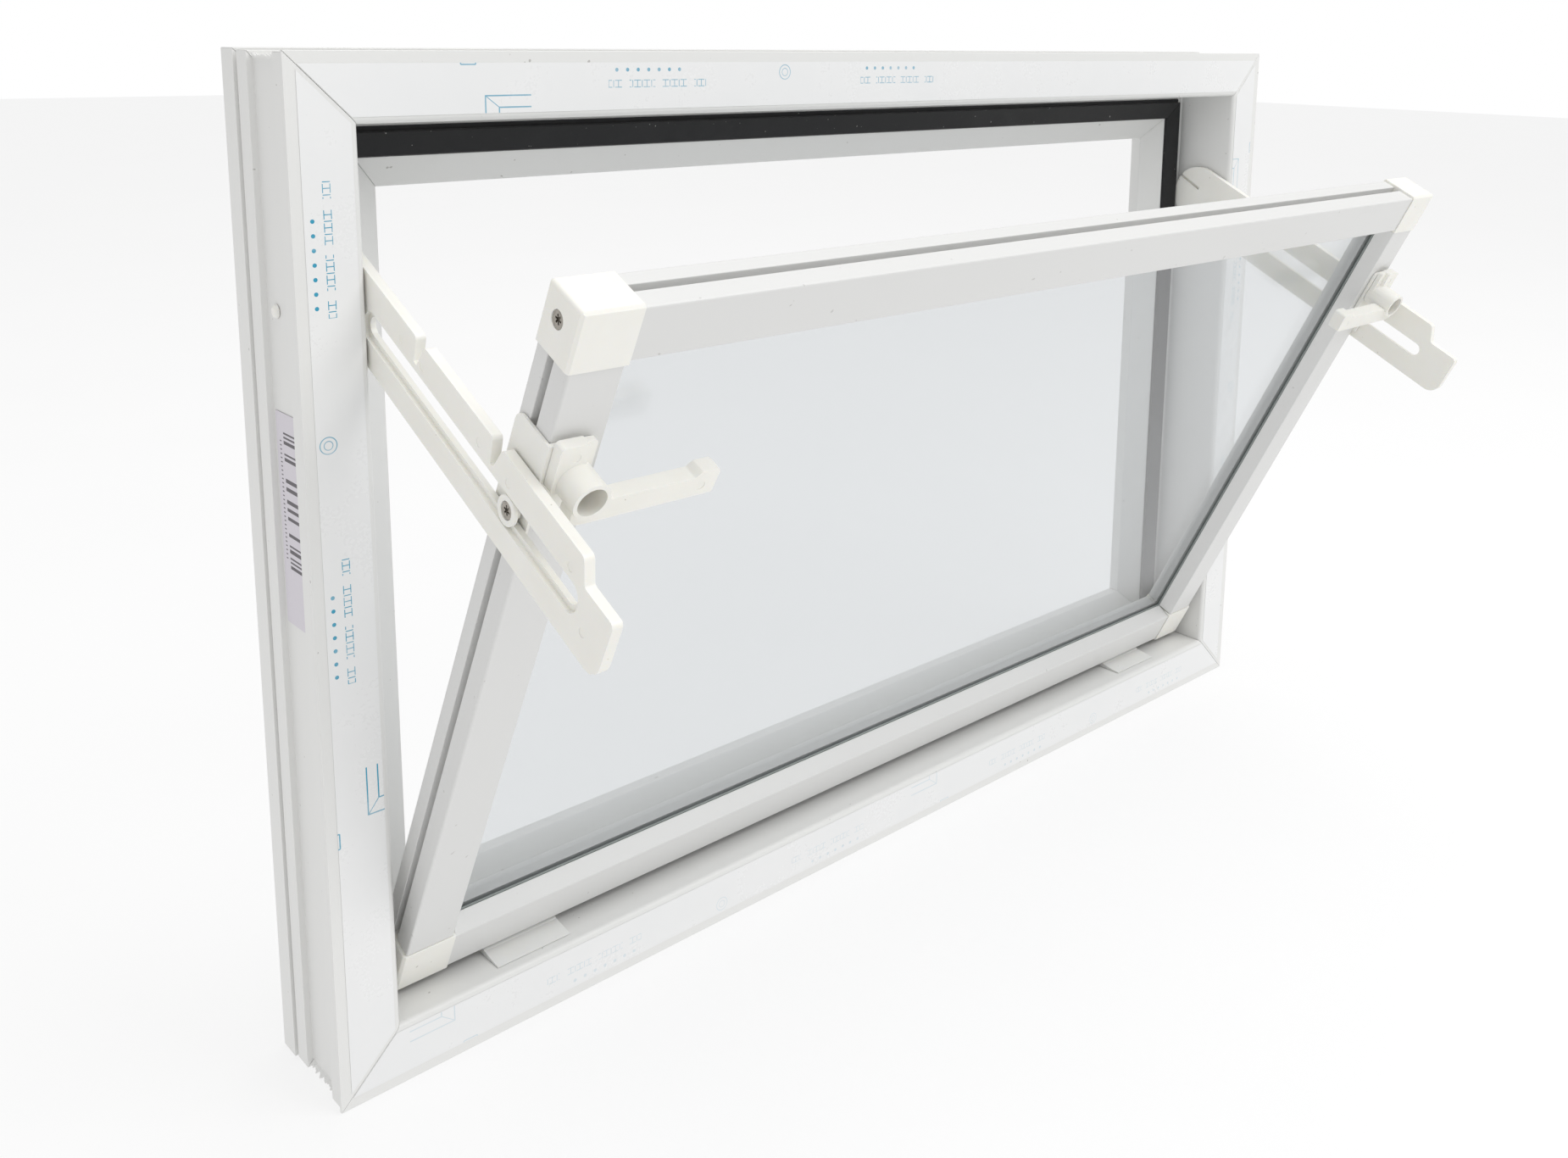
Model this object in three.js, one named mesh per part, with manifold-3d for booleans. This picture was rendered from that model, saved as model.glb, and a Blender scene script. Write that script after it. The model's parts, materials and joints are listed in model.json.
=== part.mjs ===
// Bottom-hung utility window, held open on its two notched stays.
// Millimetres, +Z up. X runs along the width, -Y faces the room, +Y faces outdoors.
// The origin lies in the middle of the sill's seat, on the underside of the sill's rear rib.
import * as THREE from 'three';
import * as BufferGeometryUtils from 'three/addons/utils/BufferGeometryUtils.js';
import Module from 'manifold-3d';

const wasm = await Module();
wasm.setup();

// ---------------------------------------------------------------- driving dimensions
const WIDTH = 900;               // frame, outside
const HEIGHT = 600;
const DEPTH = 81;                // frame, room face to outdoor face
const SEAT_Y = 72;               // middle of the seat, behind the room face
const GAP = 0.3;                 // between pieces that touch

const FACE = 38;                 // width of the frame's room face
const STOP = 79;                 // width of the frame at the stop lip
const STOP_Y = 58;               // front of the stop, behind the room face
const LIP_Y = 71;                // where the stop's slope ends
const RECESS = 3.7;              // depth of the anchor channel round the outside

const OPEN = THREE.MathUtils.degToRad(26.25);   // the sash's lean at rest
const SASH_H = 500.3;            // over the corner caps
const SASH_W = 809;
const PROUD = 2;                 // how far the caps stand out past the profiles
const CAP = 34;                  // side of a corner cap
const BAR_W = 30;                // face width of the sash profile
const BAR_T = 28.5;              // thickness of the sash profile
const BEVEL = 4;                 // inward slope of the glazing side
const GLASS_N = -14;             // room side of the pane, from the sash face
const GLASS_T = 4;
const GROOVE_N = -15.7;          // middle of the groove in the sash's outer edge
const GROOVE_W = 5.4;
const GROOVE_D = 9;

const PIVOT_UP = 2.5;            // tilting axis, above the sash's lower edge
const FOOT = { y: 24.6, z: 42.5 };   // front lower edge of the leaning sash

const STAY_UP = 381;             // line of the stay's slot, up the sash
const PIN_N = -7.5;              // bush, from the sash face
const STAY_IN = 405.3;           // stay's inner and outer side, from the middle
const STAY_OUT = 411;
const STAY_TOP = 26;             // stay's edges, from the slot line
const STAY_LOW = 23;
const SLOT_R = 5.4;
const COUNTER_R = 8.5;           // shallow recess round the slot
const COUNTER_D = 2.5;
const BUSH_R = 5.1;
const FLANGE_R = 8;

const LEVER_X = 389.5;           // lever axis, from the middle; its handle turns down clear of the stay
const LEVER_UP = 408;

// ---------------------------------------------------------------- materials
const plastic = (color, roughness) => new THREE.MeshStandardMaterial({ color, roughness, metalness: 0 });
const paint = {
  frame: () => plastic(0xe9e9e7, 0.38),
  film: () => plastic(0xe4e6e6, 0.25),
  sash: () => plastic(0xe6e6e5, 0.35),
  moulded: () => plastic(0xf2f1ea, 0.42),
  rubber: () => plastic(0x161617, 0.6),
  seal: () => plastic(0x4a5350, 0.55),
  label: () => plastic(0xdcd8df, 0.6),
  steel: () => new THREE.MeshStandardMaterial({ color: 0x77746f, roughness: 0.35, metalness: 1 }),
  glass: () => new THREE.MeshStandardMaterial({
    color: 0xdfe6ea, roughness: 0.05, metalness: 0, transparent: true, opacity: 0.35 }),
};

// ---------------------------------------------------------------- geometry helpers
function weld(geometry) {
  const bare = new THREE.BufferGeometry();
  bare.setAttribute('position', geometry.getAttribute('position').clone());
  if (geometry.index) bare.setIndex(geometry.index.clone());
  return BufferGeometryUtils.mergeVertices(bare, 1e-4);
}

function toManifold(geometry) {
  const g = weld(geometry);
  return new wasm.Manifold(new wasm.Mesh({
    numProp: 3,
    vertProperties: new Float32Array(g.getAttribute('position').array),
    triVerts: new Uint32Array(g.index.array),
  }));
}

function fromManifold(solid) {
  const mesh = solid.getMesh();
  const g = new THREE.BufferGeometry();
  g.setAttribute('position', new THREE.BufferAttribute(new Float32Array(mesh.vertProperties), 3));
  g.setIndex(new THREE.BufferAttribute(new Uint32Array(mesh.triVerts), 1));
  return g;
}

// base plus all of `added`, minus all of `removed`
function carve(base, removed = [], added = []) {
  let solid = toManifold(base);
  for (const g of added) solid = solid.add(toManifold(g));
  for (const g of removed) solid = solid.subtract(toManifold(g));
  return fromManifold(solid);
}

const wound = (points, clockwise) =>
  (THREE.ShapeUtils.isClockWise(points) === clockwise ? points : [...points].reverse());

// closed solid between two copies of an outline; place(point, end) gives each corner.
// holes are outlines too, and run right through
function loft(points, place, holes = []) {
  const loops = [wound(points, false), ...holes.map((hole) => wound(hole, true))];
  const all = loops.flat();
  const n = all.length;
  const corners = [0, 1].flatMap((end) => all.map((p) => place(p, end)));
  const index = [];
  for (const [a, b, c] of THREE.ShapeUtils.triangulateShape(loops[0], loops.slice(1))) {
    index.push(a, b, c, n + a, n + c, n + b);
  }
  let first = 0;
  for (const loop of loops) {
    for (let k = 0; k < loop.length; k++) {
      const i = first + k;
      const j = first + (k + 1) % loop.length;
      index.push(i, n + i, n + j, i, n + j, j);
    }
    first += loop.length;
  }
  const g = new THREE.BufferGeometry().setFromPoints(corners);
  g.setIndex(index);
  return volume(g) < 0 ? flip(g) : g;
}

function volume(g) {
  const p = g.getAttribute('position');
  const at = (i) => new THREE.Vector3().fromBufferAttribute(p, g.index.getX(i));
  let sum = 0;
  for (let i = 0; i < g.index.count; i += 3) sum += at(i).dot(at(i + 1).cross(at(i + 2)));
  return sum / 6;
}

function flip(g) {
  const order = Array.from(g.index.array);
  for (let i = 0; i < order.length; i += 3) [order[i], order[i + 1]] = [order[i + 1], order[i]];
  g.setIndex(order);
  return g;
}

const V2 = (x, y) => new THREE.Vector2(x, y);
const V3 = (x, y, z) => new THREE.Vector3(x, y, z);

// outline from corners [x, y] or [x, y, radius]; a corner with a radius becomes an arc
function outline(corners, steps = 5) {
  const points = [];
  corners.forEach(([x, y, r = 0], i) => {
    const here = V2(x, y);
    if (!r) return points.push(here);
    const [px, py] = corners[(i + corners.length - 1) % corners.length];
    const [nx, ny] = corners[(i + 1) % corners.length];
    const a = V2(px, py).sub(here).normalize();
    const b = V2(nx, ny).sub(here).normalize();
    const half = Math.acos(THREE.MathUtils.clamp(a.dot(b), -1, 1)) / 2;
    const reach = r / Math.tan(half);
    const middle = a.clone().add(b).normalize().multiplyScalar(r / Math.sin(half)).add(here);
    const from = a.multiplyScalar(reach).add(here).sub(middle);
    const to = b.multiplyScalar(reach).add(here).sub(middle);
    const turn = Math.atan2(from.x * to.y - from.y * to.x, from.dot(to));
    for (let k = 0; k <= steps; k++) {
      points.push(from.clone().rotateAround(V2(0, 0), turn * k / steps).add(middle));
    }
  });
  return points;
}

function circle(x, y, r, sides = 32) {
  return Array.from({ length: sides }, (_, i) => {
    const a = 2 * Math.PI * i / sides;
    return V2(x + r * Math.cos(a), y + r * Math.sin(a));
  });
}

// slot outline: two half circles joined by straight sides, along x
function slot(x0, x1, y, r, steps = 12) {
  const half = (cx, start) => Array.from({ length: steps + 1 }, (_, i) => {
    const a = start + Math.PI * i / steps;
    return V2(cx + r * Math.cos(a), y + r * Math.sin(a));
  });
  return [...half(x1, -Math.PI / 2), ...half(x0, Math.PI / 2)];
}

// prisms: the outline stays in one plane and runs along the named axis
const alongX = (points, x0, x1) => loft(points, (p, end) => V3(end ? x1 : x0, p.x, p.y));
const box = (x0, x1, y0, y1, z0, z1) => new THREE.BoxGeometry(x1 - x0, y1 - y0, z1 - z0)
  .translate((x0 + x1) / 2, (y0 + y1) / 2, (z0 + z1) / 2);

// solid of revolution about X; the profile is [distance along X, radius]
function turned(profile, sides = 28) {
  const g = new THREE.LatheGeometry(profile.map(([x, r]) => V2(r, x)), sides);
  g.rotateZ(-Math.PI / 2);
  return g;
}

// ---------------------------------------------------------------- the four sides of the frame
const SIDES = {
  sill: { half: WIDTH / 2, at: (s, u, y) => V3(s, y, u) },
  head: { half: WIDTH / 2, at: (s, u, y) => V3(s, y, HEIGHT - u) },
  jamb_left: { half: HEIGHT / 2, at: (s, u, y) => V3(u - WIDTH / 2, y, HEIGHT / 2 + s) },
  jamb_right: { half: HEIGHT / 2, at: (s, u, y) => V3(WIDTH / 2 - u, y, HEIGHT / 2 + s) },
};

// bar with mitred ends; the outline is [inward from the outer edge, behind the room face]
function mitred(side, points, holes = [], shortened = GAP / 2) {
  const { half, at } = SIDES[side];
  return loft(points, (p, end) => at((end ? 1 : -1) * (half - p.x - shortened), p.x, p.y), holes);
}

const frameOutline = outline([
  [0, 0], [0, 2], [2.4, 2], [2.4, 3.8], [1, 3.8], [1, 14.5], [RECESS + 1, 14.5], [RECESS + 1, 48.6],
  [1, 48.6], [1, 61.8], [4, 61.8], [4, 64.5], [0, 64.5], [0, DEPTH, 1], [STOP, DEPTH, 1.5],
  [STOP, LIP_Y, 2], [61, STOP_Y], [FACE + 1.2, STOP_Y, 1], [FACE + 1.2, 56.2], [FACE, 55],
  [FACE, 0, 3.5],
], 4);

// hollow chambers of the extruded profile, which leave walls of WALL all round
const WALL = 2.6;
const rectangle = (x0, x1, y0, y1) => [V2(x0, y0), V2(x1, y0), V2(x1, y1), V2(x0, y1)];
const coreU = [RECESS + 1 + WALL, FACE - WALL];
const frameChambers = [
  rectangle(...coreU, WALL, 27),
  rectangle(...coreU, 27 + WALL, 64.6),
  rectangle(WALL, coreU[1], 64.6 + WALL, DEPTH - WALL),
  [V2(FACE, STOP_Y + WALL), V2(60, STOP_Y + WALL), V2(STOP - WALL, LIP_Y + WALL),
    V2(STOP - WALL, DEPTH - WALL), V2(FACE, DEPTH - WALL)],
];

const FILM_EDGE = 6.5;           // bare margin outside the film
const FILM_T = 0.2;
const FILM_SEAM = 3.2;           // bare band along each mitre

const gasketOutline = outline([
  [43, STOP_Y - GAP], [43, 56], [51, 55.6], [45.6, 52.4], [46.4, 51.2, 0.4], [60, 55.2],
  [60.8, STOP_Y - GAP],
], 3);

// ---------------------------------------------------------------- sash: own frame, x / up / out
// up runs up the leaning sash from its lower edge, out points from its face into the room
const sash = new THREE.Group();
sash.name = 'sash';
sash.position.set(0, FOOT.y, FOOT.z);
sash.rotation.x = OPEN;
const inSash = (x, up, out) => V3(x, -out, up);

const LOW = PROUD;               // profiles lie inside the caps
const TOP = SASH_H - PROUD;
const SIDE = SASH_W / 2 - PROUD;

// outline of the sash profile: [inward from its outer edge, toward the room]
const g0 = GROOVE_N - GROOVE_W / 2;
const g1 = GROOVE_N + GROOVE_W / 2;
const PANE_LOW = GLASS_N - GLASS_T - 0.3;
const PANE_HIGH = GLASS_N + 0.3 + 1.2;          // room for the glazing seal
const barOutline = outline([
  [0, 0, 1.2], [0, g1, 0.4], [GROOVE_D, g1], [GROOVE_D, g0], [0, g0, 0.4], [0, -BAR_T, 1.2],
  [BAR_W + 1, -BAR_T, 1.2], [BAR_W + 1, PANE_LOW], [BAR_W - 7, PANE_LOW], [BAR_W - 7, PANE_HIGH],
  [BAR_W + BEVEL, PANE_HIGH], [BAR_W, 0, 1],
], 3);

// profiles stop at the caps; their glazing sides run on and meet at a mitre
const endAt = (w) => Math.max(CAP + GAP, PROUD + w + GAP / 2);
const barChamber = rectangle(GROOVE_D + WALL, BAR_W - 7 - WALL, -BAR_T + WALL, -WALL);
const rail = (up) => loft(barOutline, (p, end) =>
  inSash((end ? 1 : -1) * (SASH_W / 2 - endAt(p.x)), up(p.x), p.y), [barChamber]);
const stile = (hand) => loft(barOutline, (p, end) =>
  inSash(hand * (SIDE - p.x), end ? SASH_H - endAt(p.x) : endAt(p.x), p.y), [barChamber]);

// pane and the seal that frames it on the room side
const paneX = SIDE - BAR_W + 6;
const paneLow = LOW + BAR_W - 6;
const paneHigh = TOP - BAR_W + 6;
const sheet = (x, low, high, out0, out1) => box(-x, x, -out1, -out0, low, high);
const sealX = SIDE - BAR_W - BEVEL - 0.8;
const sealLow = LOW + BAR_W + BEVEL + 0.8;
const sealHigh = TOP - BAR_W - BEVEL - 0.8;

// corner cap: rounded block with a pocket for the pane's corner and a countersunk side hole
const CAP_FRONT = 0.8;
const CAP_BACK = -BAR_T - 0.4;
const CAP_HOLE = 14.5;           // screw, in from the cap's end
function cap(hand, top) {
  const x0 = hand * SASH_W / 2;
  const x1 = hand * (SASH_W / 2 - CAP);
  const up0 = top ? SASH_H : 0;
  const up1 = top ? SASH_H - CAP : CAP;
  const body = loft(outline([[x0, up0, 2.5], [x1, up0, 0.8], [x1, up1, 0.8], [x0, up1, 0.8]], 4),
    (p, end) => inSash(p.x, p.y, end ? CAP_FRONT : CAP_BACK));
  const upHole = top ? SASH_H - CAP_HOLE : CAP_HOLE;
  const hole = screwHole(22);
  if (hand > 0) hole.rotateY(Math.PI);
  hole.translate(hand * SASH_W / 2, -GROOVE_N, upHole);
  const pocket = sheet(paneX + 1, paneLow - 1, paneHigh + 1, PANE_LOW, PANE_HIGH);
  return carve(body, [hole, pocket, ...chamfers(hand, top)]);
}

// wedges that take the sharp front and rear edges off a cap's outer sides
function chamfers(hand, top) {
  const c = 1.6;
  const x = hand * SASH_W / 2;
  const up = top ? SASH_H : 0;
  const s = top ? 1 : -1;
  const wedges = [];
  for (const [out, side] of [[CAP_FRONT, 1], [CAP_BACK, -1]]) {
    const sideWedge = [V2(x - hand * c, out + side * 0.01), V2(x + hand, out + side * 0.01),
      V2(x + hand, out - side * (c + 1)), V2(x + hand * 0.01, out - side * c)];
    wedges.push(loft(sideWedge, (p, end) => inSash(p.x, end ? up + s : up - s * (CAP + 1), p.y)));
    const endWedge = [V2(up - s * c, out + side * 0.01), V2(up + s, out + side * 0.01),
      V2(up + s, out - side * (c + 1)), V2(up + s * 0.01, out - side * c)];
    wedges.push(loft(endWedge, (p, end) => inSash(end ? x + hand : x - hand * (CAP + 1), p.x, p.y)));
  }
  return wedges;
}

// countersunk hole along X for such a screw, open at x = 0
const screwHole = (depth) =>
  turned([[-1, 0], [-1, 4.9], [0.9, 4.9], [3.9, 2.3], [depth, 2.3], [depth, 0]], 24);

// countersunk screw along X, head at x = 0 facing -X, with a six-armed recess
function screw(length, headR = 4.5, shankR = 1.9) {
  const taper = Math.max(3.2, length - 2);
  const body = turned([[0, 0], [0, headR], [0.5, headR], [3, shankR], [taper, shankR], [length, 0.3],
    [length, 0]], 24);
  const arms = [0, 1, 2].map((i) => box(-1, 1.4, -2.6, 2.6, -0.55, 0.55).rotateX(i * Math.PI / 3));
  return carve(body, arms);
}

// ---------------------------------------------------------------- stays
// along: distance from the frame pivot down the stay; across: from the slot line
const pin = V2(FOOT.y - Math.sin(OPEN) * STAY_UP - Math.cos(OPEN) * PIN_N,
  FOOT.z + Math.cos(OPEN) * STAY_UP - Math.sin(OPEN) * PIN_N);
const CLOSED_Y = FOOT.y - Math.sin(OPEN) * PIVOT_UP - Math.cos(OPEN) * GROOVE_N + GROOVE_N;
const stayPivotY = CLOSED_Y - PIN_N;
const PIN_R = (stayPivotY - pin.x) / Math.cos(OPEN);      // bush to pivot, at rest
const stayPivotZ = pin.y + PIN_R * Math.sin(OPEN);
const NOSE = 24.5;               // round rear end
const END_R = PIN_R - PIN_N + 86;                 // front end, from the pivot
const NOTCHES = [79, 162];       // rear side of each notch, from the pivot

const stay = new THREE.Group();
stay.name = 'stays';
stay.position.set(0, stayPivotY, stayPivotZ);
stay.rotation.x = OPEN;
const onStay = (x, along, across) => V3(x, -along, across);

function stayOutline() {
  const notch = (r) => [[r, STAY_TOP, 3], [r + 2.5, STAY_TOP - 14, 1.2], [r + 5.5, STAY_TOP - 14, 1.2],
    [r + 9.5, STAY_TOP, 2.5]];
  return outline([
    [-NOSE, STAY_TOP, NOSE - 1], ...NOTCHES.flatMap(notch),
    [END_R - 31, STAY_TOP, 4], [END_R - 25, STAY_TOP - 13, 3], [END_R, STAY_TOP - 13, 3],
    [END_R, -STAY_LOW, 10], [-NOSE, -STAY_LOW, NOSE - 1],
  ], 7);
}

const SLOT_START = 34;
const SLOT_END = PIN_R - PIN_N + 57 - SLOT_R;
const MARKS = [[66, 15], [90, 15], [152, 15], [182, 14], [END_R - 38, 14], [END_R - 18, -8]];
const MARK_D = 0.35;             // depth of the round ejector marks on moulded parts

function stayArm(hand) {
  const inner = hand * STAY_IN;
  const outer = hand * STAY_OUT;
  const slab = (points, x0, x1) => loft(points, (p, end) => onStay(end ? x1 : x0, p.x, p.y));
  const stud = slab(circle(0, 0, 3.7, 24), outer - hand * 0.5, outer + hand * 8);
  const through = slab(slot(SLOT_START, SLOT_END, 0, SLOT_R), inner - hand, outer + hand);
  const counter = slab(slot(SLOT_START, SLOT_END, 0, COUNTER_R), outer - hand * COUNTER_D, outer + hand);
  const slit = slab(outline([[-NOSE - 5, 7.2], [-1, 5.2], [-1, 7.8], [-NOSE - 5, 9.8]]), inner - hand,
    inner + hand * 3);
  const dot = slab(circle(14, -8, 2.6, 16), inner - hand, inner + hand * 3.2);
  const marks = MARKS.map(([r, a]) => slab(circle(r, a, 2.6, 14), outer - hand * MARK_D, outer + hand));
  return carve(slab(stayOutline(), inner, outer), [through, counter, slit, dot, ...marks], [stud]);
}

// stepped bush that runs in the slot, countersunk for its screw
function bush(hand) {
  const profile = [[0, 0], [0, FLANGE_R], [COUNTER_D - GAP, FLANGE_R], [COUNTER_D - GAP, BUSH_R],
    [STAY_OUT - STAY_IN - GAP, BUSH_R], [STAY_OUT - STAY_IN - GAP, 0]];
  const body = turned(profile, 32);
  const hole = screwHole(9);
  return placeOnStay(carve(body, [hole]), hand, 0);
}

function placeOnStay(geometry, hand, depth) {
  if (hand > 0) geometry.rotateY(Math.PI);
  const at = onStay(hand * (STAY_OUT - depth), PIN_R, 0);
  return geometry.translate(at.x, at.y, at.z);
}

// ---------------------------------------------------------------- brackets and levers on the sash
// plate on the sash's outer edge, keyed into its groove, with a pad under the lever
const PAD = 2.4;                 // bracket thickness in front of the stile
const STUD_R = 3.4;
const STUD_TOP = 9;
const PLATE_LOW = 364;           // plate's ends, up the sash
const PLATE_HIGH = 426.5;
const PAD_LOW = 386;
const PAD_SIDE = 11;             // pad, inward of the lever's axis
const KEY_END = 4;               // key, short of the plate's ends
function bracket(hand) {
  const x0 = hand * (SIDE + GAP);
  const x1 = hand * (SASH_W / 2 - 0.2);
  const rear = -BAR_T + 1;
  const front = PAD + GAP;
  const padX = [hand * (LEVER_X - PAD_SIDE), x1 - hand * 0.5];
  const plate = loft(outline([[PLATE_LOW, rear, 3], [PLATE_HIGH, rear, 6], [PLATE_HIGH, front, 1],
    [PLATE_LOW, front, 1]], 4), (p, end) => inSash(end ? x1 : x0, p.x, p.y));
  const pad = loft(outline([[padX[0], PAD_LOW, 3], [padX[1], PAD_LOW], [padX[1], PLATE_HIGH],
    [padX[0], PLATE_HIGH, 3]], 4), (p, end) => inSash(p.x, p.y, end ? front : GAP));
  const key = loft(rectangle(PLATE_LOW + KEY_END, PLATE_HIGH - KEY_END, g0 + GAP, g1 - GAP),
    (p, end) => inSash(end ? x0 + hand * 0.5 : hand * (SIDE - GROOVE_D + GAP), p.x, p.y));
  const stud = loft(circle(hand * LEVER_X, LEVER_UP, STUD_R, 20),
    (p, end) => inSash(p.x, p.y, end ? STUD_TOP : GAP + 0.5));
  return carve(plate, [], [pad, key, stud]);
}

// lever: open hub, a stepped tongue that points up at rest, and a handle that points inward
const HUB_R = 10.2;
const BORE_R = 8;
const BORE_FLOOR = 8.2;
const HUB_BASE = PAD + 2 * GAP;
const HUB_MOUTH = 25.5;
const TONGUE_TOP = 22;           // above the lever's axis
const TONGUE_LOW = -6;
const TONGUE_FRONT = 9.5;
const BAR_LOW = -15.3;           // handle's edges, from the lever's axis
const BAR_HIGH = -3;
const BAR_END = 77.5;
const BAR_BACK = 13.5;           // handle's rear and front faces, from the sash face
const BAR_FRONT = 23;
function lever(hand) {
  const inward = -hand;
  const at = (s, up, out) => inSash(hand * LEVER_X + inward * s, LEVER_UP + up, out);
  const slab = (points, out0, out1) => loft(points, (p, end) => at(p.x, p.y, end ? out1 : out0));
  const hub = slab(circle(0, 0, HUB_R, 36), HUB_BASE, HUB_MOUTH);
  const tongue = slab(outline([[-12.5, TONGUE_LOW, 3], [3.5, TONGUE_LOW], [3.5, TONGUE_TOP, 2],
    [-12.5, TONGUE_TOP, 2]], 3), HUB_BASE, TONGUE_FRONT);
  const shoulder = slab(outline([[2, TONGUE_LOW], [9.5, TONGUE_LOW, 2], [9.5, TONGUE_TOP - 1, 2.5],
    [2, TONGUE_TOP - 1]], 3), HUB_BASE, TONGUE_FRONT - 3);
  const tip = BAR_HIGH + 3.2;
  const bar = slab(outline([[-8, BAR_LOW, 6], [BAR_END - 1.5, BAR_LOW, 1.5], [BAR_END, tip, 2.5],
    [BAR_END - 11.5, tip, 2], [BAR_END - 15.5, BAR_HIGH, 2], [-8, BAR_HIGH, 5]], 4), BAR_BACK, BAR_FRONT);
  const mark = slab(circle(BAR_END - 10.5, -9, 2.8, 14), BAR_FRONT - MARK_D, BAR_FRONT + 1);
  const tongueMark = slab(circle(-3, 14.5, 2.6, 14), TONGUE_FRONT - MARK_D, TONGUE_FRONT + 1);
  const bore = slab(circle(0, 0, BORE_R, 32), BORE_FLOOR, HUB_MOUTH + 1);
  const seat = slab(circle(0, 0, STUD_R + GAP, 20), HUB_BASE - 1, BORE_FLOOR + 1);
  return carve(hub, [bore, seat, mark, tongueMark], [tongue, shoulder, bar]);
}

// pan-head screw that holds the lever on its stud
const PAN_H = 2.4;
function leverScrew(hand) {
  const body = turned([[0, 0], [0, 4.2], [1.2, 5.4], [PAN_H, 5.4], [PAN_H, 0]], 24);
  const arms = [0, 1].map((i) => box(-1, 1.3, -2.4, 2.4, -0.6, 0.6).rotateX(i * Math.PI / 2));
  const g = carve(body, arms);
  g.rotateZ(Math.PI / 2);
  return g.translate(hand * LEVER_X, -(STUD_TOP + GAP + PAN_H), LEVER_UP);
}

// ---------------------------------------------------------------- hinge blocks on the sill
const BLOCK_X = 318;
const BLOCK_W = 52;
const TOE_Y = 8.5;               // thin front edge of the block, behind the room face
const TOE_H = 0.6;
const pivot = V2(CLOSED_Y - GROOVE_N, FOOT.z + Math.cos(OPEN) * PIVOT_UP - Math.sin(OPEN) * GROOVE_N);
const NECK = 1.25;
const BEAD_R = 2.4;
function hingeBlock(hand) {
  const shoulder = pivot.y - PIVOT_UP - 1.6;
  const x0 = hand * BLOCK_X - BLOCK_W / 2;
  const profile = outline([
    [TOE_Y, FACE + GAP], [TOE_Y, FACE + GAP + TOE_H, 0.2], [FOOT.y + 0.4, FOOT.z - 1.1, 1],
    [pivot.x - NECK - 3.4, shoulder - 1.3],
    [pivot.x - NECK, shoulder - 0.6], [pivot.x - NECK, pivot.y], [pivot.x + NECK, pivot.y],
    [pivot.x + NECK, shoulder], [50, shoulder, 1], [50, FACE + GAP],
  ], 3);
  const body = alongX(profile, x0, x0 + BLOCK_W);
  const bead = alongX(circle(pivot.x, pivot.y, BEAD_R, 20), x0 + 1, x0 + BLOCK_W - 1);
  return carve(body, [], [bead]);
}

// ---------------------------------------------------------------- small things in the left channel
const CHANNEL_X = -WIDTH / 2 + RECESS + 1;
function channelPlug() {
  const g = turned([[0, 0], [0, 2.4], [0.8, 3.6], [2.2, 4.1], [2.2, 0]], 10);
  return g.translate(CHANNEL_X - GAP - 2.2, 36, 462);
}
function barLabel() {
  return box(CHANNEL_X - GAP - 0.2, CHANNEL_X - GAP, 18, 46, 284, 406);
}

// ---------------------------------------------------------------- assembly
const windowUnit = new THREE.Group();
windowUnit.name = 'hopper_window';
windowUnit.position.y = -SEAT_Y;

function add(parent, name, geometry, material) {
  const mesh = new THREE.Mesh(geometry, material);
  mesh.name = name;
  parent.add(mesh);
  return mesh;
}

for (const side of Object.keys(SIDES)) {
  let bar = mitred(side, frameOutline, frameChambers);
  if (side.startsWith('jamb')) {
    const hand = side === 'jamb_left' ? -1 : 1;
    const socket = loft(circle(stayPivotY, stayPivotZ, 4.1, 24),
      (p, end) => V3(hand * (end ? WIDTH / 2 - FACE - 3 : WIDTH / 2 - FACE + 9), p.x, p.y));
    bar = carve(bar, [socket]);
  }
  add(windowUnit, `frame_${side}`, bar, paint.frame());
  const film = [V2(FILM_EDGE, -0.1), V2(FACE - 3.8, -0.1), V2(FACE - 3.8, -0.1 - FILM_T),
    V2(FILM_EDGE, -0.1 - FILM_T)];
  const bare = side.startsWith('jamb') ? FILM_SEAM : 2 * GAP;
  add(windowUnit, `film_${side}`, mitred(side, film, [], bare), paint.film());
  add(windowUnit, `gasket_${side}`, mitred(side, gasketOutline), paint.rubber());
}
add(windowUnit, 'channel_plug', channelPlug(), paint.moulded());
add(windowUnit, 'bar_label', barLabel(), paint.label());

windowUnit.add(sash, stay);
add(sash, 'sash_rail_bottom', rail((w) => LOW + w), paint.sash());
add(sash, 'sash_rail_top', rail((w) => TOP - w), paint.sash());
add(sash, 'glass_pane', sheet(paneX, paneLow, paneHigh, GLASS_N - GLASS_T, GLASS_N), paint.glass());
add(sash, 'glazing_seal', carve(
  sheet(paneX, paneLow, paneHigh, GLASS_N + 0.2, PANE_HIGH - 0.2),
  [sheet(sealX, sealLow, sealHigh, GLASS_N - 1, PANE_HIGH + 1)]), paint.seal());

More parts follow.
